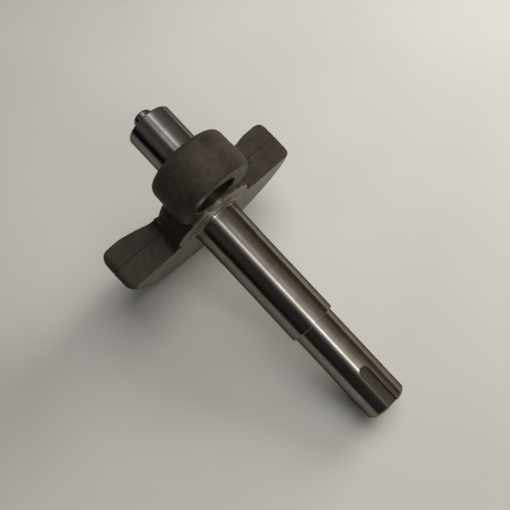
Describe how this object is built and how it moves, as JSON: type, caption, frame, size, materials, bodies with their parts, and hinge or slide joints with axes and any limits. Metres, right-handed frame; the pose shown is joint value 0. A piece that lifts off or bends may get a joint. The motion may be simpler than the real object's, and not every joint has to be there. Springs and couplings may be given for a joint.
{
  "type": "crankshaft",
  "caption": "Overhung crankshaft: stepped ground shaft with an open keyway, cast web with half-moon counterweight and round boss, and a plain cylindrical crank pin.",
  "frame": {"origin": "centre of the output end face, on the shaft axis", "axes": "+X along the shaft axis, out of the output end; +Z from the shaft axis towards the crank pin and the keyway; Y across the counterweight"},
  "size_m": [0.1975, 0.1222, 0.1231],
  "materials": {
    "cast_skin": "as-cast dark grey-brown skin, machined light grey on the face towards the output end",
    "ground_shaft": "ground bright, fine marks round the shaft",
    "turned_ring": "turned, satin",
    "ground_pin": "ground bright, fine marks round the pin"
  },
  "bodies": {
    "root": {"crank_web": "cast_skin", "main_shaft": "ground_shaft", "shoulder_ring": "turned_ring", "crank_pin": "ground_pin"}
  },
  "joints": []
}
